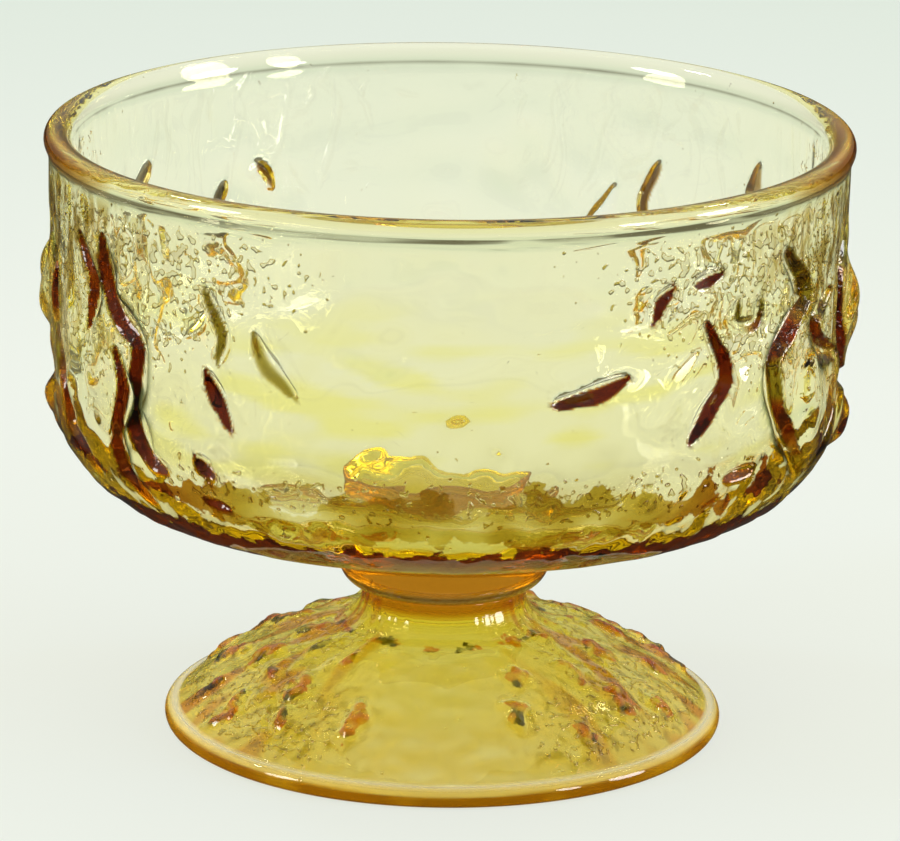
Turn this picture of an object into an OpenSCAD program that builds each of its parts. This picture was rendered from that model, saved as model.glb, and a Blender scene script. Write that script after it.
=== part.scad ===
// Footed sherbet glass: a wide crinkled bowl on a round button and a domed, lumpy foot.
// The three pieces are pressed one by one and joined while the glass is hot.

/* [Bowl] */
// Diameter of the rim, over its bead
rim_d = 95; // [84:0.5:108]
// Height of the bowl, from the button to the top of the rim
bowl_h = 48.4; // [42:0.2:58]
// Height of the smooth bead round the rim
bead_h = 2.8; // [2.2:0.1:3.6]
// How far the bead stands out from the wall
bead_proud = 0.6; // [0.4:0.1:1]
// How much the wall narrows from the bead down to the turn
wall_taper = 0.5; // [0:0.1:1.5]
// Thickness of the wall
wall_t = 2.8; // [2.3:0.1:3.4]
// Thickness of the floor over the button
floor_t = 5; // [3.5:0.1:7]
// Radius of the turn from the wall to the underside
turn_r = 13; // [10:0.5:16]
// Radius of the turn from the wall to the floor, inside
inner_turn_r = 11; // [8:0.5:14]
// Slope of the underside beside the button, in degrees
seat_slope = 7; // [3:1:10]
// Slope of the underside where the turn begins, in degrees
turn_slope = 16; // [12:1:24]
// Slope of the floor where the inner turn begins, in degrees
floor_slope = 13; // [8:1:18]

/* [Crinkle] */
// Depth of the deepest grooves in the wall
groove_depth = 1.4; // [0.6:0.1:1.5]
// Width of the widest grooves
groove_w = 4.6; // [3.4:0.1:5.4]
// Height of the highest swells between the grooves
swell_h = 1; // [0.4:0.1:1.2]

/* [Button] */
// Diameter of the button
button_d = 25.2; // [20:0.2:30]
// Height of the button
button_h = 7.4; // [5.5:0.1:9]
// Radius of the button's rounded lower edge
button_round = 3; // [1.5:0.1:3.4]
// Radius of the button's rounded upper edge
button_top_round = 1.2; // [0.6:0.1:1.6]

/* [Foot] */
// Diameter of the foot
foot_d = 66.7; // [58:0.1:78]
// Height of the foot, from the table to the button
foot_h = 17.2; // [16.5:0.1:24]
// Diameter of the neck under the button
neck_d = 19.4; // [15:0.2:20]
// Height of the dome's crown, inside the neck
crown_h = 14.1; // [11:0.1:14.5]
// Radius of the hollow between the neck and the dome
neck_fillet = 4.4; // [2:0.1:4.6]
// Height of the smooth band round the edge
band_h = 2.4; // [1.6:0.1:3.4]
// Width of the ledge between the band and the dome
ledge_w = 0.3; // [0.2:0.1:1]
// Width of the flat ring that the glass stands on
ring_w = 3; // [2:0.1:6]
// Depth of the dish in the underside
dish_h = 2.8; // [1.5:0.1:3.5]
// Height of the highest lumps on the dome
lump_h = 0.9; // [0.4:0.1:1.2]
// Width of a lump, across the dome
lump_w = 4.4; // [3.4:0.2:6]
// Length of a lump, down the dome
lump_l = 6.6; // [4.4:0.2:9]

/* [Hidden] */
$fn = 96;
glass_tint = [0.9, 0.84, 0.42];
arc_steps = 10;

// The relief comes twice round the glass, once from each half of the mould
half_turn = 180;
quarter_turn = 90;

// Where the pieces meet
button_z = foot_h;
bowl_z = button_z + button_h;

// Outside of the bowl, from its seat on the button
rim_r = rim_d / 2;
bead_r = bead_h / 2;
bead_mid_r = rim_r - bead_r;
bead_mid_z = bowl_h - bead_r;
wall_r = rim_r - bead_proud;
wall_top = bead_mid_z - bead_r / 2;
seat_r = button_d / 2;
turn_mid_r = wall_r - wall_taper - turn_r;
turn_from_r = turn_mid_r + turn_r * sin(turn_slope);
under_slope = (seat_slope + turn_slope) / 2;
turn_from_z = (turn_from_r - seat_r) * tan(under_slope);
turn_mid_z = turn_from_z + turn_r * cos(turn_slope);
under_r = (turn_from_r - seat_r) / cos(under_slope) / 2 / sin((turn_slope - seat_slope) / 2);

// Inside of the bowl, and the lining under it, which stays clear of the deepest groove
inner_r = wall_r - wall_t;
lip_round = bead_mid_r - inner_r;
inner_mid_r = inner_r - wall_taper - inner_turn_r;
floor_to_r = inner_mid_r + inner_turn_r * sin(floor_slope);
floor_to_z = floor_t + floor_to_r * tan(floor_slope / 2);
inner_mid_z = floor_to_z + inner_turn_r * cos(floor_slope);
floor_r = floor_to_r / sin(floor_slope);
lining_t = (wall_t - groove_depth) * 2 / 3;

// Crinkled band, from the start of the turn up to the bead
turn_len = turn_r * (90 - turn_slope) * PI / 180;
wall_len = wall_top - turn_mid_z;
band_len = turn_len + wall_len;
fade_percent = 12;
columns = 180;
under_rows = 3;
turn_rows = 9;
wall_rows = 16;

// Grooves: share of the full depth and of the full width, then the points along each,
// with their azimuth in degrees and their height in percent of the crinkled band
grooves = [
    [0.9, 0.95, [[-57, 88], [-55, 73], [-49, 64], [-49, 53], [-50, 46], [-47, 36], [-43, 33]]],
    [0.85, 0.85, [[-54, 60], [-52, 50], [-54, 40], [-53, 30], [-48, 21]]],
    [0.8, 0.75, [[-64, 86], [-60, 76], [-61, 63]]],
    [1, 1, [[-83, 84], [-77, 72], [-79, 60], [-73, 46], [-70, 36], [-62, 25]]],
    [0.95, 0.75, [[-35, 61], [-33, 55], [-31, 48]]],
    [0.75, 0.75, [[-27, 73], [-25, 67], [-21, 59]]],
    [0.65, 0.65, [[-35, 82], [-32, 71], [-33, 64]]],
    [0.8, 0.65, [[-37, 39], [-34, 35]]],
    [0.7, 0.65, [[-36, 28], [-32, 26]]],
    [1, 0.75, [[15, 59], [20, 61], [25, 64]]],
    [1, 0.8, [[38, 74], [42, 60], [39, 52], [36, 45]]],
    [0.7, 0.65, [[29, 77], [30, 82], [32, 85]]],
    [0.65, 0.65, [[36, 85], [41, 87]]],
    [0.5, 0.65, [[44, 78], [44, 73], [48, 72], [49, 78]]],
    [1, 0.95, [[55, 87], [61, 75], [57, 68], [53, 60], [54, 49], [59, 36], [63, 27]]],
    [0.9, 0.85, [[70, 72], [65, 66], [68, 58], [76, 53]]],
    [0.85, 0.9, [[83, 86], [77, 73], [78, 59], [80, 50], [84, 43], [98, 38]]],
    [0.9, 0.85, [[78, 38], [74, 31], [68, 26]]],
    [0.7, 0.65, [[43, 33], [49, 34]]]
];

// Swells: share of the full height, azimuth and percent of the middle, reach in degrees and percent
swells = [
    [1, -90, 62, 13, 19], [0.8, -90, 28, 12, 13], [0.8, -67, 57, 7, 18], [0.6, -42, 51, 8, 14],
    [0.5, -12, 72, 11, 16], [0.4, 2, 46, 13, 14], [0.5, 20, 40, 10, 13], [0.5, 31, 66, 10, 16],
    [0.6, 47, 53, 7, 15], [0.9, 64, 48, 7, 15], [1, 84, 56, 9, 22], [0.8, 85, 30, 9, 11]
];

// Foot
foot_r = foot_d / 2;
neck_r = neck_d / 2;
band_r = band_h / 2;
edge_r = foot_r - band_r;
dome_edge_r = edge_r - ledge_w;
dome_rise = crown_h - band_h;
dome_r = (dome_edge_r ^ 2 + dome_rise ^ 2) / (2 * dome_rise);
dome_z = crown_h - dome_r;
dome_from = asin((band_r - dome_z) / dome_r);
fillet_mid_r = neck_r + neck_fillet;
fillet_mid_z = dome_z + sqrt((dome_r + neck_fillet) ^ 2 - fillet_mid_r ^ 2);
fillet_side = atan2(fillet_mid_z - dome_z, fillet_mid_r);
dish_edge_r = edge_r - ring_w;
dish_r = (dish_edge_r ^ 2 + dish_h ^ 2) / (2 * dish_h);
foot_columns = 96;
dome_rows = 12;
fillet_rows = 4;

// Lumps of the dome: share of the full height, azimuth, and radius in percent of the dome's
lumps = [
    [0.9, -40, 52], [1, -24, 80], [1, -44, 84], [1, -62, 88], [0.8, -47, 71], [0.9, -77, 87], [1, -76, 66],
    [0.6, -81, 49], [0.8, -62, 70], [0.8, -59, 50], [1, 21, 74], [0.7, 28, 58], [1, 56, 79], [0.7, 60, 45],
    [0.4, 84, 45], [0.9, 72, 61], [0.8, 66, 89], [0.9, 86, 80], [0.8, 49, 61], [0.8, 37, 87]
];

// Points of an arc round [r, z], from one angle to another
function arc(r, z, radius, from, to) =
    [for (i = [0 : arc_steps]) let (a = from + (to - from) * i / arc_steps)
        [r + radius * cos(a), z + radius * sin(a)]];

// Rows of a skin along an arc, without its end: radius, height, direction outwards, share of the arc
function arc_rows(r, z, radius, from, to, rows) =
    [for (i = [0 : rows - 1]) let (a = from + (to - from) * i / rows)
        [r + radius * cos(a), z + radius * sin(a), a, i / rows]];

// Point of a row at an azimuth from the front, lifted off the skin
function lifted(row, lift, azimuth) =
    let (r = row[0] + lift * cos(row[2]))
        [r * sin(azimuth), -r * cos(azimuth), row[1] + lift * sin(row[2])];

// Ring of points from one row and the lifts over half a turn, which come twice
function ring(row, lifts) =
    [for (turn = [0, half_turn]) for (i = [0 : len(lifts) - 1])
        lifted(row, lifts[i], turn + half_turn * i / len(lifts) - quarter_turn)];

// Azimuths of one repeat of the relief
function azimuths(count) = [for (i = [0 : count / 2 - 1]) 360 * i / count - quarter_turn];

// Shortest way round to the nearest repeat
function nearest(azimuth) = azimuth - half_turn * round(azimuth / half_turn);

// Two triangles between four points, split along the shorter diagonal
function patch(points, a, b, c, d) =
    norm(points[a] - points[c]) < norm(points[b] - points[d]) ?
        [[a, c, b], [a, d, c]] : [[a, d, b], [b, d, c]];

// Closed solid from rings of points round the axis, with a fan over the first ring and the last
module skin(rings) {
    n = len(rings[0]);
    m = len(rings);
    last = (m - 1) * n;
    points = concat([for (r = rings) each r], [[0, 0, rings[0][0][2]], [0, 0, rings[m - 1][0][2]]]);
    polyhedron(points, [
        for (i = [0 : n - 1]) let (k = (i + 1) % n)
            each [[m * n, i, k], [m * n + 1, last + k, last + i]],
        for (low = [0 : n : last - n]) for (i = [0 : n - 1]) let (k = (i + 1) % n)
            each patch(points, low + i, low + k, low + n + k, low + n + i)]);
}

// Wall unrolled flat, in mm
function unroll(azimuth, percent) = [azimuth * PI / 180 * wall_r, percent * band_len / 100];
function to_stretch(p, a, b) =
    let (d = b - a, t = max(0, min(1, (p - a) * d / (d * d))))
        norm(p - a - t * d);
function to_line(p, line) = min([for (i = [1 : len(line) - 1]) to_stretch(p, line[i - 1], line[i])]);

groove_lines = [for (g = grooves) [for (spot = g[2]) unroll(spot[0], spot[1])]];

// Depth of the grooves and height of the swells at a point of the wall
function groove_at(azimuth, percent) =
    max([for (i = [0 : len(grooves) - 1]) for (turn = [-half_turn, 0, half_turn])
        let (d = to_line(unroll(azimuth + turn, percent), groove_lines[i]) * 2 / groove_w / grooves[i][1])
            d < 1 ? groove_depth * grooves[i][0] * (1 - d ^ 2) : 0]);
function swell_at(azimuth, percent) =
    max([for (s = swells) let (d = norm([nearest(azimuth - s[1]) / s[3], (percent - s[2]) / s[4]]))
        d < 1 ? swell_h * s[0] * (1 - d ^ 2) ^ 2 : 0]);
function crinkle_at(azimuth, percent) =
    let (fade = max(0, min(1, percent / fade_percent, (100 - percent) / fade_percent)))
        fade == 0 ? 0 : fade * (swell_at(azimuth, percent) - groove_at(azimuth, percent));

// Rows of the bowl's outside, from the seat to the bead, with their percent of the crinkled band
bowl_rows = concat(
    [for (row = arc_rows(seat_r - under_r * sin(seat_slope), under_r * cos(seat_slope), under_r,
        seat_slope - 90, turn_slope - 90, under_rows)) [row[0], row[1], row[2], 0]],
    [for (row = arc_rows(turn_mid_r, turn_mid_z, turn_r, turn_slope - 90, 0, turn_rows))
        [row[0], row[1], row[2], 100 * row[3] * turn_len / band_len]],
    [for (i = [0 : wall_rows]) let (up = wall_len * i / wall_rows)
        [wall_r - wall_taper * (1 - i / wall_rows), turn_mid_z + up, 0, 100 * (turn_len + up) / band_len]]);

module crinkled_body() {
    skin([for (row = bowl_rows)
        ring(row, [for (azimuth = azimuths(columns)) crinkle_at(azimuth, row[3])])]);
}

// Inner wall, turn and floor, back to the axis, or the same line moved into the glass
function inner_line(deep = 0) = concat(
    [[inner_r + deep, bowl_h - lip_round]],
    arc(inner_mid_r, inner_mid_z, inner_turn_r + deep, 0, floor_slope - 90),
    arc(0, floor_t + floor_r, floor_r + deep, floor_slope - 90, -90));

// Room for the lining, cut to half its thickness, so that the two run into each other
module hollow() {
    rotate_extrude()
        polygon(concat(inner_line(lining_t / 2), [[0, bowl_h], [inner_r + lining_t / 2, bowl_h]]));
}

// Bead and lip, with the smooth inside of the bowl
module lining() {
    under = inner_line(lining_t);
    rotate_extrude()
        polygon(concat(
            [for (i = [len(under) - 1 : -1 : 1]) under[i]],
            [[inner_r + lining_t, bowl_h - bead_h]],
            arc(bead_mid_r, bead_mid_z, bead_r, -90, 0),
            arc(bead_mid_r, bead_mid_z, bead_r, 0, 90),
            arc(bead_mid_r, bowl_h - lip_round, lip_round, 90, 180),
            inner_line()));
}

module bowl() {
    color(glass_tint)
        translate([0, 0, bowl_z]) {
            difference() {
                crinkled_body();
                hollow();
            }
            lining();
        }
}

// Disc with both edges rounded
module button() {
    color(glass_tint)
        translate([0, 0, button_z])
            rotate_extrude()
                polygon(concat(
                    [[0, 0]],
                    arc(seat_r - button_round, button_round, button_round, -90, 0),
                    arc(seat_r - button_top_round, button_h - button_top_round, button_top_round, 0, 90),
                    [[0, button_h]]));
}

// Height of the lumps at a point of the dome
function lump_at(azimuth, r) =
    max([for (lump = lumps) let (
        across = nearest(azimuth - lump[1]) * PI / 180 * r / lump_w,
        down = (r - dome_edge_r * lump[2] / 100) / lump_l,
        d = 2 * norm([across, down]))
            d < 1 ? lump_h * lump[0] * (1 - d ^ 2) : 0]);

// Rows of the dome, from inside the plate up to the button
dome_line = concat(
    arc_rows(0, dome_z, dome_r, dome_from, fillet_side, dome_rows),
    [for (row = arc_rows(fillet_mid_r, fillet_mid_z, neck_fillet, fillet_side - 180, -180, fillet_rows))
        [row[0], row[1], row[2] + 180]],
    [[neck_r, fillet_mid_z, 0], [neck_r, foot_h, 0]]);

module dome() {
    skin([for (row = dome_line)
        ring(row, [for (azimuth = azimuths(foot_columns)) lump_at(azimuth, row[0])])]);
}

// Plate with the smooth edge band
module plate() {
    rotate_extrude()
        polygon(concat([[0, 0]], arc(edge_r, band_r, band_r, -90, 90), [[0, band_h]]));
}

// Shallow dish in the underside, cut from below the table
module dish() {
    rotate_extrude()
        polygon(concat(
            [[0, -dish_h], [dish_edge_r, -dish_h]],
            arc(0, dish_h - dish_r, dish_r, 90 - asin(dish_edge_r / dish_r), 90)));
}

module foot() {
    color(glass_tint)
        difference() {
            union() {
                plate();
                dome();
            }
            dish();
        }
}

bowl();
button();
foot();
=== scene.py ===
import math

import bmesh
import bpy
import numpy as np
from mathutils import Matrix, Vector, noise


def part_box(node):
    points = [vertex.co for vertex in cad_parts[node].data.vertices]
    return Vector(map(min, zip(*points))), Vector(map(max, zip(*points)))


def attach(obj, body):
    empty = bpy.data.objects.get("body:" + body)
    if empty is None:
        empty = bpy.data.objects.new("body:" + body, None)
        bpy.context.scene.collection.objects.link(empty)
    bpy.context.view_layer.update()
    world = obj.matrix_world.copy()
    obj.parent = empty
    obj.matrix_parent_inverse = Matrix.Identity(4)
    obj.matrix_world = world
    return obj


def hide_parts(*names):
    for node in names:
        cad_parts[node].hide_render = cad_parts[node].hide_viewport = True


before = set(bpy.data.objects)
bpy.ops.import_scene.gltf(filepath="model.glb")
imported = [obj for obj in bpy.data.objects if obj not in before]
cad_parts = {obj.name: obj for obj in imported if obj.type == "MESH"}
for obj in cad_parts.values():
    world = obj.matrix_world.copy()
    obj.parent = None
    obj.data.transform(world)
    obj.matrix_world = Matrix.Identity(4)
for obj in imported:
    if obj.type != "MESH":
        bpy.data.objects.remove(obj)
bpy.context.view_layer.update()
mm = 0.001
print("frame loaded:", sorted(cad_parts))

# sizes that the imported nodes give, in mm
bowlLow, bowlHigh = (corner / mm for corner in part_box("bowl"))
buttonLow, buttonHigh = (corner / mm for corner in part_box("button"))
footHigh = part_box("foot")[1] / mm
buttonR = buttonHigh.x
footR = footHigh.x

mixFrom, mixTo, mixResult = 6, 7, 2  # colour sockets of a Mix node, whose names repeat


def linear(hexColour):  # sRGB hex to a linear RGBA colour
    channels = [int(hexColour[i:i + 2], 16) / 255 for i in (1, 3, 5)]
    return [c / 12.92 if c <= 0.04045 else ((c + 0.055) / 1.055) ** 2.4 for c in channels] + [1]


def addNode(tree, kind, settings=None, inputs=None):  # inputs go by name, or by number where names repeat
    node = tree.nodes.new(kind)
    for name, value in (settings or {}).items():
        setattr(node, name, value)
    for name, value in (inputs or {}).items():
        if isinstance(value, bpy.types.NodeSocket):
            tree.links.new(value, node.inputs[name])
        else:
            node.inputs[name].default_value = value
    return node


# drawing a profile: a pen walks in the XZ plane, in mm, and each stretch is one spin of its last vertex
def lastVert(spun):
    return next(part for part in spun["geom_last"] if isinstance(part, bmesh.types.BMVert))


def lineTo(bm, pen, r, z, steps=1):
    step = (Vector((r, 0, z)) - pen.co) / steps
    return lastVert(bmesh.ops.spin(bm, geom=[pen], axis=(0, 0, 1), dvec=step, angle=0, steps=steps))


def arcTo(bm, pen, r, z, degrees, steps):  # round the middle r, z
    return lastVert(bmesh.ops.spin(bm, geom=[pen], cent=(r, 0, z), axis=(0, -1, 0),
                                   angle=math.radians(degrees), steps=steps))


def revolve(bm, steps, doublings=5, weld=0.002):  # one slice is spun, then doubled to the full turn: quicker
    slices = 2 ** doublings
    bmesh.ops.spin(bm, geom=bm.verts[:] + bm.edges[:], cent=(0, 0, 0), axis=(0, 0, 1),
                   angle=math.tau / slices, steps=steps // slices)
    for i in range(doublings):
        copied = bmesh.ops.duplicate(bm, geom=bm.verts[:] + bm.edges[:] + bm.faces[:])
        turned = [part for part in copied["geom"] if isinstance(part, bmesh.types.BMVert)]
        turn = Matrix.Rotation(math.tau / slices * 2 ** i, 3, "Z")
        bmesh.ops.rotate(bm, cent=(0, 0, 0), matrix=turn, verts=turned)
    bmesh.ops.remove_doubles(bm, verts=bm.verts[:], dist=weld)
    bmesh.ops.recalc_face_normals(bm, faces=bm.faces[:])
    bm.normal_update()


def shape(bm):  # points, outward directions, radius and azimuth from the front of all vertices
    co = np.array([v.co for v in bm.verts])
    out = np.array([v.normal for v in bm.verts])
    return co, out, np.hypot(co[:, 0], co[:, 1]), np.arctan2(co[:, 0], -co[:, 1])


def lift(bm, moves):
    for vert, move in zip(bm.verts, moves):
        vert.co += Vector(move)
    bm.normal_update()


def ramp(value, low, high):  # 0 at low, 1 at high, either way round
    return np.clip((value - low) / (high - low), 0, 1)


def bell(away):  # 1 in the middle, 0 at the edge, smooth at both
    return 0.5 + 0.5 * np.cos(np.pi * np.clip(away, 0, 1))


def twice(degrees):  # for what comes twice round the glass: the way to the nearer of two opposite places
    return (degrees + 90) % 180 - 90


def wander(points, size):  # smooth noise with lumps of about this size in mm
    return np.array([noise.noise(Vector(point) / size) for point in points])


# painted shade: light that enters a steep flank runs on inside the glass and comes out brown, or grey on the
# far flank, and that is painted on here as a tint; each tint is what the flank lets through, squared because
# the shader takes its root at each face
def paint(bm, name, tints):
    colour = np.ones((len(bm.verts), 3))
    for hexColour, strength in tints:
        colour *= np.array(linear(hexColour)[:3]) ** (2 * strength[:, None])
    layer = bm.verts.layers.float_color.new(name)
    for vert, tint in zip(bm.verts, colour):
        vert[layer] = (*tint, 1)


def store(bm, name, values):
    layer = bm.verts.layers.float.new(name)
    for vert, value in zip(bm.verts, values):
        vert[layer] = value


def markFaces(bm, name, value, wanted):
    layer = bm.faces.layers.float.get(name) or bm.faces.layers.float.new(name)
    for face in bm.faces:
        if wanted(face):
            face[layer] = value


# faces where two hot pieces were pressed together: no glass surface is left there
def markJoint(bm, z, r, flush=0.001):
    def sealed(face):
        middle = face.calc_center_median()
        return abs(middle.z - z) < flush and math.hypot(middle.x, middle.y) < r
    markFaces(bm, "joint", 1, sealed)


def makePiece(bm, name, node, material):
    bmesh.ops.scale(bm, vec=(mm, mm, mm), verts=bm.verts[:])
    mesh = bpy.data.meshes.new(name)
    bm.to_mesh(mesh)
    bm.free()
    mesh.polygons.foreach_set("use_smooth", [True] * len(mesh.polygons))
    mesh.materials.append(material)
    piece = bpy.data.objects.new(name, mesh)
    bpy.context.scene.collection.objects.link(piece)
    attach(piece, "root")
    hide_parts(node)
    print(name, "has", len(mesh.polygons), "faces")


# sizes in mm; flecks and stains with painted shade set in between two levels of noise plus what the vertices
# carry
glassLook = {
    "ior": 1.52, "bodyTint": "#fcf463", "density": 80.0, "shadowTint": "#f6ecc4",
    "fleckMm": 0.8, "fleckH": 0.1, "fleckShare": 0.34, "fleckFrom": 0.86, "fleckTo": 1.0,
    "fleckShadeTint": "#98800f", "edgeGain": 3.6, "middleLoss": 3.2,
    "ragMm": 3.0, "ragShare": 2.0, "stainShadeFrom": 1.45, "stainShadeTo": 1.55,
}


# amber soda-lime glass, pressed and fire-polished: clear, pale where it is thin, brown along long paths
def amberGlass():
    material = bpy.data.materials.new("amberSodaLimeGlass")
    material.use_nodes = True
    tree = material.node_tree
    tree.nodes.clear()
    carried = {name: addNode(tree, "ShaderNodeAttribute", {"attribute_name": name}).outputs
               for name in ("joint", "matt", "stipple", "stainAndShade", "flank", "dyeAndShade", "leaving")}
    coords = addNode(tree, "ShaderNodeTexCoord")
    path = addNode(tree, "ShaderNodeLightPath")
    # fine raised flecks with painted shade at their edges, olive gold there and paler in the middle
    grain = addNode(tree, "ShaderNodeTexNoise", inputs={
        "Vector": coords.outputs["Object"], "Scale": 1 / (glassLook["fleckMm"] * mm), "Detail": 0.0})
    denser = addNode(tree, "ShaderNodeMath", {"operation": "MULTIPLY_ADD"}, {
        0: carried["stipple"]["Fac"], 1: glassLook["fleckShare"], 2: grain.outputs["Fac"]})
    flecks = addNode(tree, "ShaderNodeMapRange", {"interpolation_type": "SMOOTHSTEP"}, {
        "Value": denser.outputs["Value"],
        "From Min": glassLook["fleckFrom"], "From Max": glassLook["fleckTo"]})
    skin = addNode(tree, "ShaderNodeBump", inputs={
        "Height": flecks.outputs["Result"], "Strength": 1.0, "Distance": glassLook["fleckH"] * mm})
    thinner = addNode(tree, "ShaderNodeMath", {"operation": "MULTIPLY_ADD"}, {
        0: flecks.outputs["Result"], 1: -glassLook["middleLoss"], 2: glassLook["edgeGain"]})
    fleckEdgeShade = addNode(tree, "ShaderNodeMath", {"operation": "MULTIPLY", "use_clamp": True}, {
        0: flecks.outputs["Result"], 1: thinner.outputs["Value"]})
    dotted = addNode(tree, "ShaderNodeMix", {"data_type": "RGBA", "blend_type": "MULTIPLY"}, {
        "Factor": fleckEdgeShade.outputs["Value"], mixFrom: carried["flank"]["Color"],
        mixTo: linear(glassLook["fleckShadeTint"])})
    # stains and painted shade with ragged edges: a smooth field on the vertices, broken up by noise
    rags = addNode(tree, "ShaderNodeTexNoise", inputs={
        "Vector": coords.outputs["Object"], "Scale": 1 / (glassLook["ragMm"] * mm), "Detail": 4.0,
        "Roughness": 0.6})
    torn = addNode(tree, "ShaderNodeMath", {"operation": "MULTIPLY_ADD"}, {
        0: rags.outputs["Fac"], 1: glassLook["ragShare"], 2: carried["stainAndShade"]["Fac"]})
    stainedAndShaded = addNode(tree, "ShaderNodeMapRange", {"interpolation_type": "SMOOTHSTEP"}, {
        "Value": torn.outputs["Value"],
        "From Min": glassLook["stainShadeFrom"], "From Max": glassLook["stainShadeTo"]})
    blotsAndShade = addNode(tree, "ShaderNodeMix", {"data_type": "RGBA", "blend_type": "MULTIPLY"}, {
        "Factor": stainedAndShaded.outputs["Result"], mixFrom: dotted.outputs[mixResult],
        mixTo: carried["dyeAndShade"]["Color"]})
    # all of these tint light that enters; light that leaves is tinted only by the painted shade of the marks
    # on the back wall
    side = addNode(tree, "ShaderNodeNewGeometry")
    tint = addNode(tree, "ShaderNodeMix", {"data_type": "RGBA"}, {
        "Factor": side.outputs["Backfacing"], mixFrom: blotsAndShade.outputs[mixResult],
        mixTo: carried["leaving"]["Color"]})
    body = addNode(tree, "ShaderNodeBsdfPrincipled", inputs={
        "Base Color": tint.outputs[mixResult], "Roughness": carried["matt"]["Fac"], "IOR": glassLook["ior"],
        "Transmission Weight": 1.0, "Normal": skin.outputs["Normal"]})
    # sealed faces let everything through, and all faces let light through to the shadow
    through = addNode(tree, "ShaderNodeMath", {"operation": "MAXIMUM"}, {
        0: carried["joint"]["Fac"], 1: path.outputs["Is Shadow Ray"]})
    shade = addNode(tree, "ShaderNodeMix", {"data_type": "RGBA"}, {
        "Factor": path.outputs["Is Shadow Ray"], mixFrom: linear("#ffffff"),
        mixTo: linear(glassLook["shadowTint"])})
    clear = addNode(tree, "ShaderNodeBsdfTransparent", inputs={"Color": shade.outputs[mixResult]})
    surface = addNode(tree, "ShaderNodeMixShader", inputs={
        "Fac": through.outputs["Value"], 1: body.outputs["BSDF"], 2: clear.outputs["BSDF"]})
    amber = addNode(tree, "ShaderNodeVolumeAbsorption", inputs={
        "Color": linear(glassLook["bodyTint"]), "Density": glassLook["density"]})
    addNode(tree, "ShaderNodeOutputMaterial", inputs={
        "Surface": surface.outputs["Shader"], "Volume": amber.outputs["Volume"]})
    return material


# mm and degrees; fade, brownTo and bandTo are percent of the crinkled band
bowl = {
    "rimR": 47.5, "beadH": 2.8, "beadProud": 0.6, "beadHollow": 5.0, "wallTaper": 0.5, "wallT": 2.8,
    "floorT": 5.0, "turnR": 13.0, "innerTurnR": 11.0, "seatSlope": 7.0, "turnSlope": 16.0, "floorSlope": 13.0,
    "jointR": 11.4, "grooveDepth": 1.45, "grooveHalf": 2.1, "runOut": 5.0, "swellH": 1.0, "fade": 12,
    "billow": 0.22, "billowMm": 8.0,
    "ripple": 0.12, "rippleMm": 3.2, "grit": 0.08, "gritMm": 1.5, "flute": 0.11, "fluteMm": 2.0,
    "patchMm": 4.5, "streakMm": 1.1, "cloudMm": 3.2, "cloudBankMm": 11.0, "brownTo": 17, "bandTo": 35,
    "steps": 448, "wallCuts": 42, "turnSteps": 28,
}

# grooves of the crinkle: share of depth, width and painted shade, then how far lower the repeat on the back
# lies (None where the back has none), then azimuth in degrees and percent of the crinkled band
grooves = [
    (0.9, 0.95, 1, 6, [(-57, 88), (-55, 73), (-49, 64), (-49, 53), (-50, 46), (-47, 36), (-43, 33)]),
    (0.85, 0.85, 1, 0, [(-54, 60), (-52, 50), (-54, 40), (-53, 30), (-48, 21)]),
    (0.8, 0.75, 1, 10, [(-64, 86), (-60, 76), (-61, 63)]),
    (1, 1, 1, 0, [(-83, 84), (-77, 72), (-79, 60), (-73, 46), (-70, 36), (-62, 25)]),
    (0.95, 0.75, 1, 0, [(-35, 61), (-33, 55), (-31, 48)]),
    (0.75, 0.75, 0.45, 5, [(-27, 73), (-25, 67), (-21, 59)]),
    (0.65, 0.65, 0.6, 6, [(-35, 82), (-32, 71), (-33, 64)]),
    (0.8, 0.65, 1, 0, [(-37, 39), (-34, 35)]),
    (0.7, 0.65, 1, 0, [(-36, 28), (-32, 26)]),
    (1, 0.75, 1, None, [(15, 59), (20, 61), (25, 64)]),
    (1, 0.8, 1, 5, [(38, 74), (42, 60), (39, 52), (36, 45)]),
    (0.7, 0.65, 1, 11, [(29, 77), (30, 82), (32, 85)]),
    (0.65, 0.65, 1, None, [(36, 85), (41, 87)]),
    (0.5, 0.65, 0.6, None, [(44, 78), (44, 73), (48, 72), (49, 78)]),
    (1, 0.95, 0.75, 8, [(55, 87), (61, 75), (57, 68), (53, 60), (54, 49), (59, 36), (63, 27)]),
    (0.9, 0.85, 0.75, 0, [(70, 72), (65, 66), (68, 58), (76, 53)]),
    (0.85, 0.9, 0.9, 0, [(83, 86), (77, 73), (78, 59), (80, 50), (84, 43), (98, 38)]),
    (0.9, 0.85, 0.9, 0, [(78, 38), (74, 31), (68, 26)]),
    (0.7, 0.65, 1, 0, [(43, 33), (49, 34)]),
]

# swells between them: share of height, azimuth, percent, reach in degrees and in percent
swells = [
    (1, -90, 62, 13, 19), (0.8, -90, 28, 12, 13), (0.8, -67, 57, 7, 18), (0.6, -42, 51, 8, 14),
    (0.5, -12, 72, 11, 16), (0.4, 2, 46, 13, 14), (0.5, 20, 40, 10, 13), (0.5, 31, 66, 10, 16),
    (0.6, 47, 53, 7, 15), (0.9, 64, 48, 7, 15), (1, 84, 56, 9, 22), (0.8, 85, 30, 9, 11),
]

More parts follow.
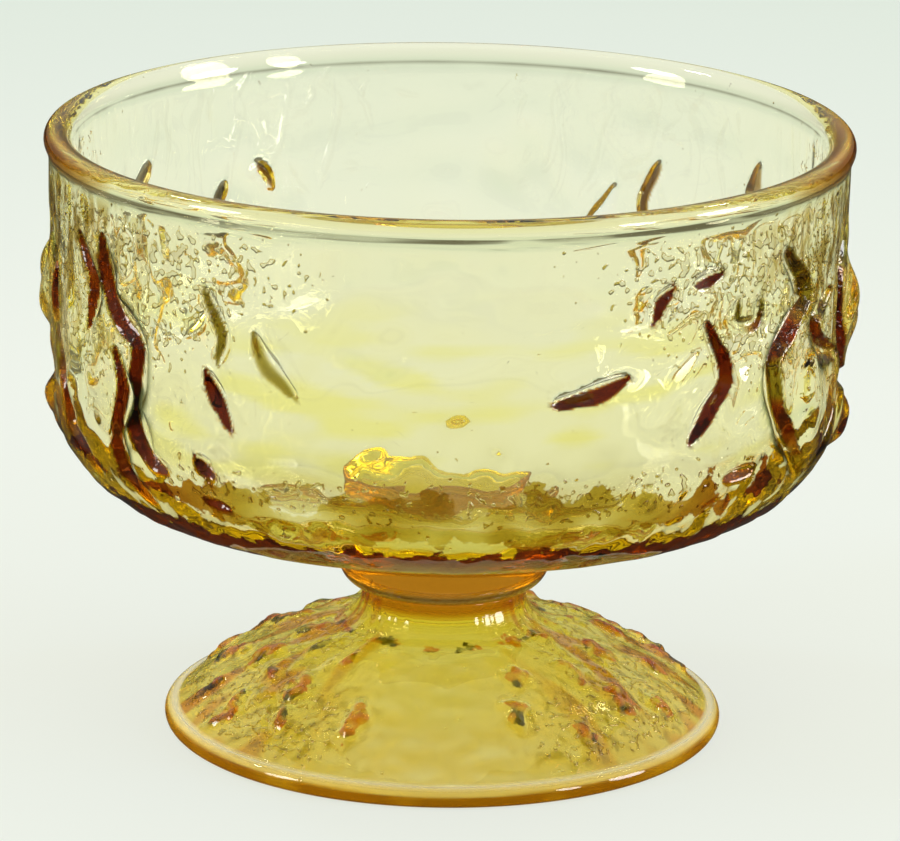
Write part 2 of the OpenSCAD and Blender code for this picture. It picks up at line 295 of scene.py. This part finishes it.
# lines that the bowl's outside is drawn on
wallR = bowl["rimR"] - bowl["beadProud"]
turnMidR = wallR - bowl["wallTaper"] - bowl["turnR"]
turnFromR = turnMidR + bowl["turnR"] * math.sin(math.radians(bowl["turnSlope"]))
underSlope = math.radians((bowl["seatSlope"] + bowl["turnSlope"]) / 2)
turnFromZ = bowlLow.z + (turnFromR - buttonR) * math.tan(underSlope)
turnMidZ = turnFromZ + bowl["turnR"] * math.cos(math.radians(bowl["turnSlope"]))
turnLen = bowl["turnR"] * math.radians(90 - bowl["turnSlope"])
beadR = bowl["beadH"] / 2
beadMidR = bowl["rimR"] - beadR
beadZ = bowlHigh.z - beadR
bandLen = turnLen + beadZ - beadR / 2 - turnMidZ


def drawOuter(bm):
    slopeIn, slopeOut = bowl["seatSlope"], bowl["turnSlope"]
    underR = ((turnFromR - buttonR) / math.cos(underSlope) / 2
              / math.sin(math.radians(slopeOut - slopeIn) / 2))
    hollow = bowl["beadHollow"]
    drop = math.sqrt((hollow + beadR) ** 2 - (wallR + hollow - beadMidR) ** 2)
    sweep = math.degrees(math.atan2(drop, wallR + hollow - beadMidR))
    pen = bm.verts.new((0, 0, bowlLow.z))
    pen = lineTo(bm, pen, bowl["jointR"], bowlLow.z, 3)
    pen = lineTo(bm, pen, buttonR, bowlLow.z)
    pen = arcTo(bm, pen, buttonR - underR * math.sin(math.radians(slopeIn)),
                bowlLow.z + underR * math.cos(math.radians(slopeIn)), slopeOut - slopeIn, 9)
    pen = arcTo(bm, pen, turnMidR, turnMidZ, 90 - slopeOut, bowl["turnSteps"])
    pen = lineTo(bm, pen, wallR, beadZ - drop, bowl["wallCuts"])
    pen = arcTo(bm, pen, wallR + hollow, beadZ - drop, -sweep, 5)
    return arcTo(bm, pen, beadMidR, beadZ, sweep + 90, 10)


def drawInner(bm, pen):
    innerR = wallR - bowl["wallT"]
    lip = beadMidR - innerR
    turnR = bowl["innerTurnR"]
    slope = math.radians(bowl["floorSlope"])
    midR = innerR - bowl["wallTaper"] - turnR
    floorToR = midR + turnR * math.sin(slope)
    floorToZ = bowlLow.z + bowl["floorT"] + floorToR * math.tan(slope / 2)
    midZ = floorToZ + turnR * math.cos(slope)
    floorR = floorToR / math.sin(slope)
    pen = arcTo(bm, pen, beadMidR, bowlHigh.z - lip, 90, 6)
    pen = lineTo(bm, pen, midR + turnR, midZ, 5)
    pen = arcTo(bm, pen, midR, midZ, -(90 - bowl["floorSlope"]), 10)
    arcTo(bm, pen, 0, bowlLow.z + bowl["floorT"] + floorR, -bowl["floorSlope"], 7)


def curveThrough(points, perStep=6):  # smooth line through the given points
    points = np.array(points, float)
    padded = np.vstack([2 * points[0] - points[1], points, 2 * points[-1] - points[-2]])
    line = []
    for a, b, c, d in zip(padded, padded[1:], padded[2:], padded[3:]):
        for t in np.arange(perStep) / perStep:
            line.append(0.5 * (2 * b + (c - a) * t + (2 * a - 5 * b + 4 * c - d) * t * t
                               + (3 * b - 3 * c + d - a) * t ** 3))
    return np.array(line + [points[-1]])


def distanceTo(line, around, up):  # shortest way from points to the line, across and up, and where along it
    best, place = np.full(around.shape, np.inf), np.zeros(around.shape)
    aside, above = np.zeros(around.shape), np.zeros(around.shape)
    walked = 0
    for (x0, y0), (x1, y1) in zip(line, line[1:]):
        dx, dy = x1 - x0, y1 - y0
        length = math.hypot(dx, dy)
        along = np.clip(((around - x0) * dx + (up - y0) * dy) / length ** 2, 0, 1)
        right, over = around - x0 - along * dx, up - y0 - along * dy
        nearer = np.hypot(right, over) < best
        best = np.where(nearer, np.hypot(right, over), best)
        aside, above = np.where(nearer, right, aside), np.where(nearer, over, above)
        place = np.where(nearer, walked + along * length, place)
        walked += length
    return best, aside, above, place, walked


def cutGrooves(azimuth, percent, margin=0):
    turn = np.degrees(azimuth)
    cut, slope, near, dyeAndShade, far = (np.zeros(turn.shape) for i in range(5))
    for depth, width, stainAndShade, lower, points in grooves:
        line = curveThrough(points) * [math.radians(1) * wallR, bandLen / 100]
        half = width * bowl["grooveHalf"]
        border = 2.1 * half + margin  # no groove reaches further
        low, high = line.min(0) - border, line.max(0) + border
        for repeat in (-180, 0, 180):
            if repeat and lower is None:
                continue
            around = np.radians(turn + repeat) * wallR
            up = (percent + lower if repeat else percent) * bandLen / 100
            close = (around > low[0]) & (around < high[0]) & (up > low[1]) & (up < high[1])
            away, aside, above, place, length = distanceTo(line, around[close], up[close])
            # grooves run out at both ends, swell on the way, and at the sides have one steeper flank
            ends = np.clip(np.minimum(place, length - place) / min(length / 2, bowl["runOut"]), 0, 1)
            fat = (0.45 + 0.55 * np.sqrt(ends)) * (1 + 0.15 * np.sin(place * 0.9 + depth * 40))
            lean = 2 * azimuth[close]
            facing = (aside * np.sin(lean) - above * np.cos(lean)) / np.maximum(away, 0.01)
            fold = np.abs(twice(turn[close]))
            reach = half * fat * (1 - facing * (0.72 * ramp(fold, 25, 48) - 0.4)) + margin
            across = away / reach
            deep = bowl["grooveDepth"] * depth * (0.3 + 0.7 * np.sqrt(ends))
            dip = deep * bell(across)
            flank = deep / reach * np.pi / 2 * np.sin(np.pi * np.clip(across, 0, 1))
            toLight = np.clip(0.5 + 1.6 * facing, 0, 1)
            for kept, new in ((slope, flank), (near, toLight), (dyeAndShade, stainAndShade)):
                kept[close] = np.where(dip > cut[close], new, kept[close])
            cut[close] = np.maximum(cut[close], dip)
            # painted shade: slate on the far edge of the grooves at the sides
            edge = ramp(across, 0.25, 0.5) * ramp(across, 1.2, 0.9) * ramp(-facing, 0.1, 0.4)
            edge = stainAndShade * edge * ramp(fold, 43, 52) * ramp(fold, 100, 65) * np.sqrt(ends)
            far[close] = np.maximum(far[close], edge)
    return cut, np.degrees(np.arctan(slope)), near, dyeAndShade, far


def crinkle(azimuth, percent):
    swell = np.zeros(azimuth.shape)
    wobble = 0.12 * np.sin(azimuth * 24 + percent * 0.2) + 0.1 * np.sin(azimuth * 42 - percent * 0.3)
    for height, middle, level, reach, rise in swells:
        aside = twice(np.degrees(azimuth) - middle)
        away = 0.9 * np.hypot(aside / reach, (percent - level) / rise) + wobble
        swell += bowl["swellH"] * height * bell(away) ** 1.5
    fade = np.clip(np.minimum(percent, 100 - percent) / bowl["fade"], 0, 1)
    cut, slope, near, dyeAndShade, far = cutGrooves(azimuth, percent)
    return fade * (swell - cut), slope, near, dyeAndShade * fade, far * fade


def onBand(bm):  # where each vertex lies on the crinkled band, and which way it is lifted
    co, out, r, azimuth = shape(bm)
    below = np.arctan2(np.maximum(turnMidZ - co[:, 2], 0), np.maximum(r - turnMidR, 0.01))
    percent = (turnLen - below * bowl["turnR"] + np.maximum(co[:, 2] - turnMidZ, 0)) * 100 / bandLen
    facing = out[:, 0] * co[:, 0] + out[:, 1] * co[:, 1]
    outside = (facing > 0.2 * r) & (percent < 100) & (r > turnFromR)
    aim = np.stack([np.sin(azimuth) * np.cos(below), -np.cos(azimuth) * np.cos(below), -np.sin(below)], 1)
    return co, np.where(outside[:, None], aim, out), azimuth, percent, outside


def drawBowl():
    bm = bmesh.new()
    drawInner(bm, drawOuter(bm))
    revolve(bm, bowl["steps"])
    # finer faces where the grooves go
    azimuth, percent, outside = onBand(bm)[2:]
    fine = outside & (cutGrooves(azimuth, percent, margin=0.5)[0] > 0.02)
    bm.verts.index_update()
    edges = [e for e in bm.edges if fine[e.verts[0].index] and fine[e.verts[1].index]]
    bmesh.ops.subdivide_edges(bm, edges=edges, cuts=2, use_grid_fill=True)
    bm.normal_update()
    return bm


def makeBowl(material):
    bm = drawBowl()
    co, out, azimuth, percent, outside = onBand(bm)
    r, z = np.hypot(co[:, 0], co[:, 1]), co[:, 2]
    side, ahead = np.abs(np.sin(azimuth)), np.cos(azimuth)
    broad = wander(co, bowl["patchMm"])
    relief = np.zeros((5, len(co)))
    relief[:, outside] = crinkle(azimuth[outside], percent[outside])
    height, slope, near, dyeAndShade, far = relief

    def within(*shares):  # a zone of the crinkled outside
        return np.where(outside, np.prod(shares, axis=0), 0)

    # finely wrinkled in the upper band at the sides and along the bottom, and fluted at the very sides
    upper = within(ramp(ahead, -0.45, -0.15), ramp(percent, 92 - 60 * side, 106 - 55 * side),
                   ramp(percent, 99, 94), ramp(side, 0.15, 0.55))
    lower = within(ramp(percent, 54, 34), ramp(percent, 0, 8))
    limb = within(ramp(side, 0.7, 0.92), ramp(percent, 55, 76), ramp(percent, 99, 94))
    billow = within(ramp(percent, 0, 20), ramp(percent, 100, 85)) * wander(co * [1, 1, 1.7], bowl["billowMm"])
    ripple = (upper * ramp(side, 0.35, 0.75) + 1.4 * lower) * wander(co * [1, 1, 0.6], bowl["rippleMm"])
    grit = lower * wander(co, bowl["gritMm"])
    flute = limb * wander(co * [1, 1, 0.25], bowl["fluteMm"])
    rise = height + bowl["billow"] * billow + bowl["ripple"] * ripple + bowl["grit"] * grit
    lift(bm, out * (rise + bowl["flute"] * flute)[:, None])

    # masks for painted shade: steep flanks, dark streaks at the very sides, the bead's top and its outside
    steep = ramp(slope, 18, 34) * near * ramp(percent, 10, 45)
    brown = ramp(3 * broad + 10 * (dyeAndShade - 0.75), -0.5, 0.5)
    streaks = wander(co * [1, 1, 0.25], bowl["streakMm"])
    swollen = within(ramp(side, 0.9, 0.98), ramp(percent, 70, 50), ramp(percent, 10, 25))
    bead = ramp(z, beadZ, beadZ + 0.8) * ramp(r, wallR - 0.4, wallR - 1.0) * ramp(r, wallR - 2.2, wallR - 1.6)
    brim = ramp(z, beadZ - beadR, beadZ - 0.5) * ramp(r, wallR - 0.2, wallR + 0.3) * ramp(side, 0.8, 0.98)
    front = within(ramp(ahead, 0.5, 0.75))
    clouds = wander(co * [0.35, 0.35, 1.4], bowl["cloudMm"])
    clouds += 0.8 * wander(co * [0.7, 0.7, 1.4], bowl["cloudBankMm"])
    clouds = ramp(clouds, -0.05, 0.35) * ramp(percent, 30, 40) * ramp(percent, 88, 62)
    # painted shade: brown and olive on steep flanks, slate on far edges, darker streaks at the very sides and
    # below them, darker bead top and outside at the sides; the soft yellow clouds are a tone in the glass
    paint(bm, "flank", [
        ("#883e06", steep * brown),  # brown flanks
        ("#8a7a2c", steep * (1 - brown) * ramp(dyeAndShade, 0, 0.6)),  # olive flanks
        ("#4a503e", far),  # slate edges
        ("#bc8c50", front * steep * brown),  # deeper brown at the front
        ("#fffdd0", front * clouds),  # soft yellow clouds
        ("#6a4a10", 0.4 * limb * ramp(streaks, -0.02, 0.12)),  # streaks at the very sides
        ("#b07c24", 0.5 * swollen * ramp(streaks, -0.2, 0.1)),  # and below them
        ("#8a7430", bead * (0.4 + 0.6 * side) * ramp(ahead, -0.3, 0.1)),  # top of the bead
        ("#8a4c12", 0.8 * brim),  # its outside, at the sides
    ])
    # painted shade: dark marks in the grooves high on the back wall, on light that leaves the glass there
    behind = within(ramp(ahead, -0.45, -0.65), ramp(percent, 57, 62))
    marks = ramp(dyeAndShade, 0.45, 0.6) * ramp(-height, 0.15, 0.55)
    paint(bm, "leaving", [("#5e3408", behind * marks)])

    # painted shade: a brown skirt along the bottom, a paler strip, then the wavy band that the floor's turn
    # throws
    skirt = 0.5 + (bowl["brownTo"] - percent) / 9
    bandTop = bowl["bandTo"] + 9 * broad - 3 * side
    band = 0.5 + np.minimum(percent - bowl["brownTo"] - 5, bandTop - percent) / 8
    band -= 0.55 * ramp(side, 0.5, 0.8)
    store(bm, "stainAndShade", within(np.clip(np.maximum(skirt, band), 0, 1)))
    low = ramp(percent, bowl["brownTo"] + 3, bowl["brownTo"] + 2)
    paint(bm, "dyeAndShade", [
        ("#783c04", low),  # skirt
        ("#c2aa46", (1 - low) * np.clip(0.5 + 0.5 * side + 0.8 * broad, 0.2, 1)),  # band
        ("#c07830", (1 - low) * ramp(side, 0.5, 0.8)),  # browner at the sides
    ])
    crumbs = within(ramp(percent, 24, 30), ramp(percent, 43, 36), ramp(ahead, 0.5, 0.8))
    store(bm, "stipple", np.maximum(upper + 0.15 * lower, 0.75 * crumbs))
    markJoint(bm, bowlLow.z, bowl["jointR"])
    makePiece(bm, "crinkledBowl", "bowl", material)


button = {"lowRound": 3.0, "highRound": 1.2, "jointGap": 0.02, "tintW": 2.0, "steps": 192}  # mm


def makeButton(material):
    bm = bmesh.new()
    low, high = buttonLow.z + button["jointGap"], buttonHigh.z - button["jointGap"]
    lowR, highR = buttonR - button["lowRound"], buttonR - button["highRound"]
    pen = bm.verts.new((0, 0, low))
    pen = lineTo(bm, pen, lowR, low, 3)
    pen = arcTo(bm, pen, lowR, low + button["lowRound"], 90, 12)
    pen = lineTo(bm, pen, buttonR, high - button["highRound"], 3)
    pen = arcTo(bm, pen, highR, high - button["highRound"], 90, 8)
    lineTo(bm, pen, 0, high, 3)
    revolve(bm, button["steps"])
    r = shape(bm)[2]
    paint(bm, "flank", [("#a8641c", 0.7 * (r > buttonR - button["tintW"]))])
    paint(bm, "dyeAndShade", [])
    paint(bm, "leaving", [])
    markJoint(bm, low, lowR)
    markJoint(bm, high, highR)
    makePiece(bm, "roundButton", "button", material)


# mm, and the roughness of the underside
foot = {
    "neckR": 9.7, "crownH": 14.1, "fillet": 4.4, "bandH": 2.4, "ledgeW": 0.3, "ringW": 3.0, "dishH": 2.8,
    "jointR": 9.6, "lumpH": 0.9, "lumpW": 4.6, "lumpL": 7.0, "ripple": 0.17, "rippleMm": 1.5,
    "domeWave": 0.17, "domeWaveMm": 4.0, "underWave": 0.16, "underWaveMm": 2.4, "mattUnder": 0.5,
    "warpMm": 3.0, "fineMm": 1.2, "streakMm": 2.6, "fleckMm": 1.0, "mottleMm": 7.0, "spotMm": 0.9,
    "steps": 480,
}

# lumps of the dome, which also come twice: share of height, azimuth, percent of the dome's radius
lumps = [
    (0.9, -40, 52), (1, -24, 80), (1, -44, 84), (1, -62, 88), (0.8, -47, 71), (0.9, -77, 87), (1, -76, 66),
    (0.6, -81, 49), (0.8, -62, 70), (0.8, -59, 50), (1, 21, 74), (0.7, 28, 58), (1, 56, 79), (0.7, 60, 45),
    (0.4, 84, 45), (0.9, 72, 61), (0.8, 66, 89), (0.9, 86, 80), (0.8, 49, 61), (0.8, 37, 87),
]

# lines that the foot is drawn on
bandR = foot["bandH"] / 2
edgeR = footR - bandR
domeEdgeR = edgeR - foot["ledgeW"]
domeRise = foot["crownH"] - foot["bandH"]
domeR = (domeEdgeR ** 2 + domeRise ** 2) / (2 * domeRise)
domeZ = foot["crownH"] - domeR
filletR = foot["neckR"] + foot["fillet"]
filletZ = domeZ + math.sqrt((domeR + foot["fillet"]) ** 2 - filletR ** 2)
dishEdge = edgeR - foot["ringW"]
dishR = (dishEdge ** 2 + foot["dishH"] ** 2) / (2 * foot["dishH"])


def drawFoot():
    bm = bmesh.new()
    climb = math.degrees(math.atan2(filletZ - domeZ, filletR))
    pen = bm.verts.new((0, 0, foot["dishH"]))
    pen = arcTo(bm, pen, 0, foot["dishH"] - dishR, -math.degrees(math.asin(dishEdge / dishR)), 56)
    pen = lineTo(bm, pen, edgeR, 0, 2)
    pen = arcTo(bm, pen, edgeR, bandR, 180, 14)
    pen = lineTo(bm, pen, domeEdgeR, foot["bandH"])
    pen = arcTo(bm, pen, 0, domeZ, climb - math.degrees(math.acos(domeEdgeR / domeR)), 52)
    pen = arcTo(bm, pen, filletR, filletZ, -climb, 14)
    pen = lineTo(bm, pen, foot["neckR"], footHigh.z, 2)
    pen = lineTo(bm, pen, foot["jointR"], footHigh.z)
    lineTo(bm, pen, 0, footHigh.z, 3)
    revolve(bm, foot["steps"])
    return bm


def raiseLumps(r, azimuth, warp, fine):
    height = np.zeros(len(r))
    for i, (share, middle, percent) in enumerate(lumps):
        wide, long = foot["lumpW"] * (0.8 + i * 0.618 % 0.5), foot["lumpL"] * (0.75 + i * 0.382 % 0.6)
        aside = np.radians(twice(np.degrees(azimuth) - middle)) * r / wide
        down = (r - domeEdgeR * percent / 100) / long
        away = 2 * np.hypot(aside + 0.25 * warp, down - 0.25 * warp) + 0.3 * fine
        height = np.maximum(height, share * bell(away))
    return height


def makeFoot(material):
    bm = drawFoot()
    co, out, r, azimuth = shape(bm)
    z, upward = co[:, 2], out[:, 2]
    side = np.abs(np.sin(azimuth))
    dome = (upward > 0.02) & (z > foot["bandH"] + 0.05) & (z < footHigh.z - 0.5)
    warp, fine = wander(co, foot["warpMm"]), wander(co, foot["fineMm"])
    height = raiseLumps(r, azimuth, warp, fine)

    def downSlope(around, down, size):  # noise that is drawn out down the slope
        return wander(np.stack([azimuth * around, r * down, 0 * r], 1), size)

    # smooth at the front and back, finely wrinkled down the slope at the sides
    rough = dome * ramp(side, 0.2, 0.6) * ramp(r, domeEdgeR, domeEdgeR - 1.5)
    waves = downSlope(14, 0.45, foot["rippleMm"])
    domeWave = dome * ramp(r, domeEdgeR, domeEdgeR - 2) * ramp(r, filletR - 2, filletR)
    underWave = (upward < -0.9) * ramp(r, dishEdge, dishEdge - 2)
    rise = foot["lumpH"] * dome * height + foot["ripple"] * rough * waves
    for name, zone in (("domeWave", domeWave), ("underWave", underWave)):
        rise += foot[name] * zone * wander(co, foot[name + "Mm"])
    lift(bm, out * rise[:, None])

    neck = ramp(z, filletZ - 1.5, filletZ - 0.5) * (upward < 0.9)
    thick = dome * ramp(side, 0.5, 0.85) * ramp(downSlope(18, 0.25, foot["streakMm"]), 0, 0.2)
    flecks = rough * ramp(downSlope(22, 0.7, foot["fleckMm"]), 0.16, 0.32)
    flecks *= ramp(r, 0.5 * domeEdgeR, 0.75 * domeEdgeR)
    # painted shade on the lower, downward-facing side of the foot's rounded edge, mottled
    edge = ramp(upward, 0.35 + 0.4 * side, 0.15 + 0.4 * side) * (z < foot["bandH"] * 0.9)
    paint(bm, "flank", [
        ("#f0f8d8", 0.8 * dome),  # a little green all over the dome
        ("#faf2b0", dome * ramp(side, 0.3, 0.7)),  # yellower at the sides
        ("#e0a02c", 0.75 * thick),  # amber streaks there
        ("#8a8030", 0.35 * flecks),  # olive flecks
        ("#b5701c", 0.7 * neck),
        ("#b08420", edge * np.clip(0.8 + 0.9 * wander(co, foot["mottleMm"]), 0.25, 1)),  # mottled edge
    ])
    # amber and dark green spots in the lumps and round the neck
    spots = ramp(np.abs(r - filletR + 1.8), 1.6, 0.2)
    store(bm, "stainAndShade", dome * np.clip(np.maximum(1.15 * height, 0.55 * spots), 0, 1))
    green = ramp(warp + 0.5 * fine, 0.05, 0.2)
    depth = np.clip(0.75 + 1.2 * wander(co, foot["spotMm"]), 0, 1)
    paint(bm, "dyeAndShade", [("#e49a26", depth * (1 - green)), ("#626422", depth * green)])
    paint(bm, "leaving", [])
    flecked = np.maximum(ramp(r, 0.6 * domeEdgeR, 0.75 * domeEdgeR), ramp(side, 0.6, 0.8))
    store(bm, "stipple", 0.92 * rough * flecked)
    markJoint(bm, footHigh.z, foot["jointR"])
    markFaces(bm, "matt", foot["mattUnder"], lambda face: face.normal.z < -0.9)
    makePiece(bm, "domedFoot", "foot", material)


# photograph's viewpoint: metres and degrees, for a 900 x 841 frame
view = {"back": 0.6454, "height": 0.2212, "down": 15.92, "yaw": 0.04, "roll": 0.82,
        "focalPx": 5652.7, "framePx": 900}


def makeCamera():
    data = bpy.data.cameras.new("camera")
    data.sensor_width = 36
    data.lens = view["focalPx"] * data.sensor_width / view["framePx"]
    data.clip_start = 0.01
    camera = bpy.data.objects.new("camera", data)
    turn = (Matrix.Rotation(math.radians(-view["yaw"]), 4, "Z")
            @ Matrix.Rotation(math.radians(90 - view["down"]), 4, "X")
            @ Matrix.Rotation(math.radians(view["roll"]), 4, "Z"))
    camera.matrix_world = Matrix.Translation((0, -view["back"], view["height"])) @ turn
    bpy.context.scene.collection.objects.link(camera)
    bpy.context.scene.camera = camera


# metres from the glass, floorZ in mm; sky and behind are bounds on a direction's z and y;
# the room is what the glass sees beyond the paper
studio = {
    "paper": "#edf1e9", "far": "#dde7dc", "backdrop": "#c5cec3", "room": "#6c6a5c", "high": "#d0d4cc",
    "paperTo": 0.16, "farFrom": 0.5, "roomFrom": 0.6, "roomTo": 1.1, "floorR": 6.0, "floorZ": -0.05,
    "skyFrom": 0.08, "skyTo": 0.5, "behindFrom": 0.3, "behindTo": -0.4,
    "glow": 0.75, "level": 1.2, "dimFloor": 0.95, "dimRoom": 0.7,
}


def reflectedRay(tree, path):  # glossy rays without those that went through the glass
    only = addNode(tree, "ShaderNodeMath", {"operation": "SUBTRACT", "use_clamp": True}, {
        0: path.outputs["Is Glossy Ray"], 1: path.outputs["Is Transmission Ray"]})
    return only.outputs["Value"]


# matt sweep paper: pale and even, with only a soft shadow
def sweepPaper():
    material = bpy.data.materials.new("paleSweepPaper")
    material.use_nodes = True
    tree = material.node_tree
    paper, output = tree.nodes["Principled BSDF"], tree.nodes["Material Output"]
    coords = addNode(tree, "ShaderNodeTexCoord")
    path = addNode(tree, "ShaderNodeLightPath")
    reach = addNode(tree, "ShaderNodeVectorMath", {"operation": "LENGTH"}, {
        "Vector": coords.outputs["Object"]})
    away = addNode(tree, "ShaderNodeMapRange", inputs={
        "Value": reach.outputs["Value"], "From Min": studio["paperTo"], "From Max": studio["farFrom"]})
    colour = addNode(tree, "ShaderNodeMix", {"data_type": "RGBA"}, {
        "Factor": away.outputs["Result"], mixFrom: linear(studio["paper"]), mixTo: linear(studio["far"])})
    # further off, only the camera still sees paper
    beyond = addNode(tree, "ShaderNodeMapRange", inputs={
        "Value": reach.outputs["Value"], "From Min": studio["roomFrom"], "From Max": studio["roomTo"]})
    unseen = addNode(tree, "ShaderNodeMath", {"operation": "SUBTRACT", "use_clamp": True}, {
        0: beyond.outputs["Result"], 1: path.outputs["Is Camera Ray"]})
    ground = addNode(tree, "ShaderNodeMix", {"data_type": "RGBA"}, {
        "Factor": unseen.outputs["Value"], mixFrom: colour.outputs[mixResult], mixTo: linear(studio["room"])})
    tree.links.new(ground.outputs[mixResult], paper.inputs["Base Color"])
    paper.inputs["Roughness"].default_value = 0.9
    paper.inputs["Specular IOR Level"].default_value = 0.1
    # seen by the camera or through the glass, it mostly glows with its own pale colour: shadows stay soft
    seen = addNode(tree, "ShaderNodeMath", {"operation": "MAXIMUM"}, {
        0: path.outputs["Is Camera Ray"], 1: path.outputs["Is Transmission Ray"]})
    share = addNode(tree, "ShaderNodeMath", {"operation": "MULTIPLY"}, {
        0: seen.outputs["Value"], 1: studio["glow"]})
    pale = addNode(tree, "ShaderNodeEmission", inputs={"Color": ground.outputs[mixResult], "Strength": 1.0})
    both = addNode(tree, "ShaderNodeMixShader", inputs={
        "Fac": share.outputs["Value"], 1: paper.outputs["BSDF"], 2: pale.outputs["Emission"]})
    # reflections of it in the glass are dimmed
    mirrored = addNode(tree, "ShaderNodeMath", {"operation": "MULTIPLY"}, {
        0: reflectedRay(tree, path), 1: studio["dimFloor"]})
    unlit = addNode(tree, "ShaderNodeEmission", inputs={"Strength": 0.0})
    dimmed = addNode(tree, "ShaderNodeMixShader", inputs={
        "Fac": mirrored.outputs["Value"], 1: both.outputs["Shader"], 2: unlit.outputs["Emission"]})
    tree.links.new(dimmed.outputs["Shader"], output.inputs["Surface"])
    return material


def makeFloor(material):
    bm = bmesh.new()
    bmesh.ops.create_circle(bm, cap_ends=True, segments=96, radius=studio["floorR"])
    bmesh.ops.translate(bm, vec=(0, 0, studio["floorZ"] * mm), verts=bm.verts[:])
    mesh = bpy.data.meshes.new("floor")
    bm.to_mesh(mesh)
    bm.free()
    mesh.materials.append(material)
    floor = bpy.data.objects.new("floor", mesh)
    bpy.context.scene.collection.objects.link(floor)


def makeWorld():
    world = bpy.data.worlds.new("studio")
    bpy.context.scene.world = world
    world.use_nodes = True
    tree = world.node_tree
    tree.nodes.clear()
    coords = addNode(tree, "ShaderNodeTexCoord")
    path = addNode(tree, "ShaderNodeLightPath")
    split = addNode(tree, "ShaderNodeSeparateXYZ", inputs={"Vector": coords.outputs["Generated"]})
    sky = addNode(tree, "ShaderNodeMapRange", {"interpolation_type": "SMOOTHSTEP"}, {
        "Value": split.outputs["Z"], "From Min": studio["skyFrom"], "From Max": studio["skyTo"]})
    colour = addNode(tree, "ShaderNodeMix", {"data_type": "RGBA"}, {
        "Factor": sky.outputs["Result"], mixFrom: linear(studio["room"]), mixTo: linear(studio["high"])})
    # the camera sees about the colour of the far paper, so no horizon shows
    backdrop = addNode(tree, "ShaderNodeMix", {"data_type": "RGBA"}, {
        "Factor": path.outputs["Is Camera Ray"], mixFrom: colour.outputs[mixResult],
        mixTo: linear(studio["backdrop"])})
    # in reflections the room behind the camera is dimmer
    behind = addNode(tree, "ShaderNodeMapRange", inputs={
        "Value": split.outputs["Y"], "From Min": studio["behindFrom"], "From Max": studio["behindTo"],
        "To Max": studio["dimRoom"]})
    dim = addNode(tree, "ShaderNodeMath", {"operation": "MULTIPLY"}, {
        0: behind.outputs["Result"], 1: reflectedRay(tree, path)})
    level = addNode(tree, "ShaderNodeMath", {"operation": "MULTIPLY_ADD"}, {
        0: dim.outputs["Value"], 1: -studio["level"], 2: studio["level"]})
    light = addNode(tree, "ShaderNodeBackground", inputs={
        "Color": backdrop.outputs[mixResult], "Strength": level.outputs["Value"]})
    addNode(tree, "ShaderNodeOutputWorld", inputs={"Surface": light.outputs["Background"]})


# place, width and height in metres, then watts; the sparks are small and bright, for glints on the wrinkles
lamps = {
    "windowRight": ((1.3, -0.2, 0.36), 0.42, 0.68, 9),
    "windowLeft": ((-1.2, -0.4, 0.7), 0.36, 0.62, 6.5),
    "windowFront": ((1.0, -0.75, 0.4), 0.24, 0.48, 3.6),
    "sparkLeft": ((-0.8, 0.5, 1.2), 0.16, 0.16, 1.9),
    "sparkRight": ((0.8, 0.55, 1.2), 0.13, 0.13, 1.3),
}
lampAim = Vector((0, 0, 0.04))


def makeLamps():
    for name, (place, width, height, watts) in lamps.items():
        data = bpy.data.lights.new(name, "AREA")
        data.shape = "ELLIPSE"
        data.size, data.size_y = width, height
        data.energy = watts
        lamp = bpy.data.objects.new(name, data)
        lamp.location = place
        lamp.rotation_euler = (lampAim - Vector(place)).to_track_quat("-Z", "Y").to_euler()
        bpy.context.scene.collection.objects.link(lamp)


def setRender():
    scene = bpy.context.scene
    scene.view_settings.view_transform = "Standard"
    scene.cycles.caustics_reflective = False
    scene.cycles.caustics_refractive = False
    scene.cycles.max_bounces = 32
    scene.cycles.transmission_bounces = 32
    scene.cycles.glossy_bounces = 16
    scene.cycles.transparent_max_bounces = 16


glass = amberGlass()
makeBowl(glass)
makeButton(glass)
makeFoot(glass)
makeCamera()
makeFloor(sweepPaper())
makeWorld()
makeLamps()
setRender()
print("camera, floor, world and", len(lamps), "lamps are set")
